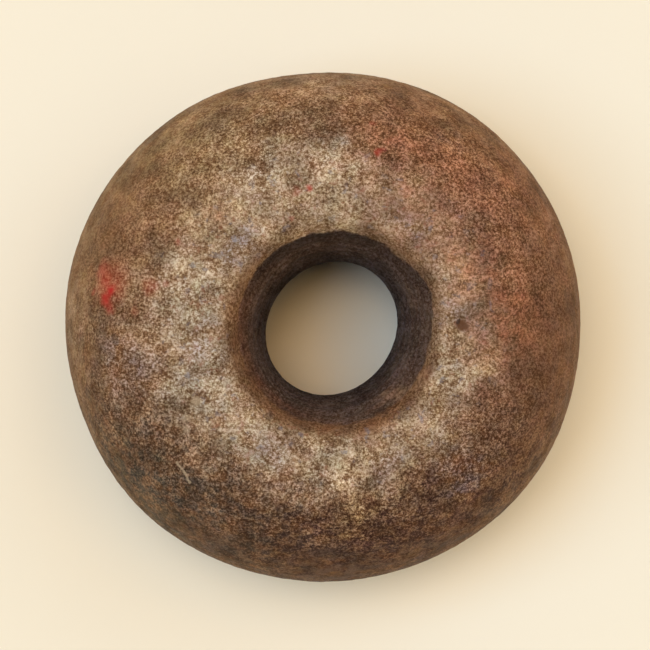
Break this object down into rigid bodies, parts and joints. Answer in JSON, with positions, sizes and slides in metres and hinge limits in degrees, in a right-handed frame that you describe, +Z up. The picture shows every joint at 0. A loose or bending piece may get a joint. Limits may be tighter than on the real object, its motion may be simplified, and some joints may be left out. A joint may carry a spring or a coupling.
{
  "type": "stone spindle whorl",
  "caption": "Thick ring of brown speckled stone with rounded sides and a spindle hole that narrows to a waist inside, lying on its worn flat underside.",
  "frame": {"origin": "bottom centre of the stone, on the plane that its underside rests on", "axes": "+Z up along the spindle hole, the stone's thickness; +X to the right and +Y to the top of the stone as it is seen from straight above"},
  "size_m": [0.042, 0.0416, 0.0228],
  "materials": {
    "stone": "brown speckled stone, pecked and ground, dull and rubbed smooth"
  },
  "bodies": {
    "root": {"stone_whorl": "stone"}
  },
  "joints": []
}
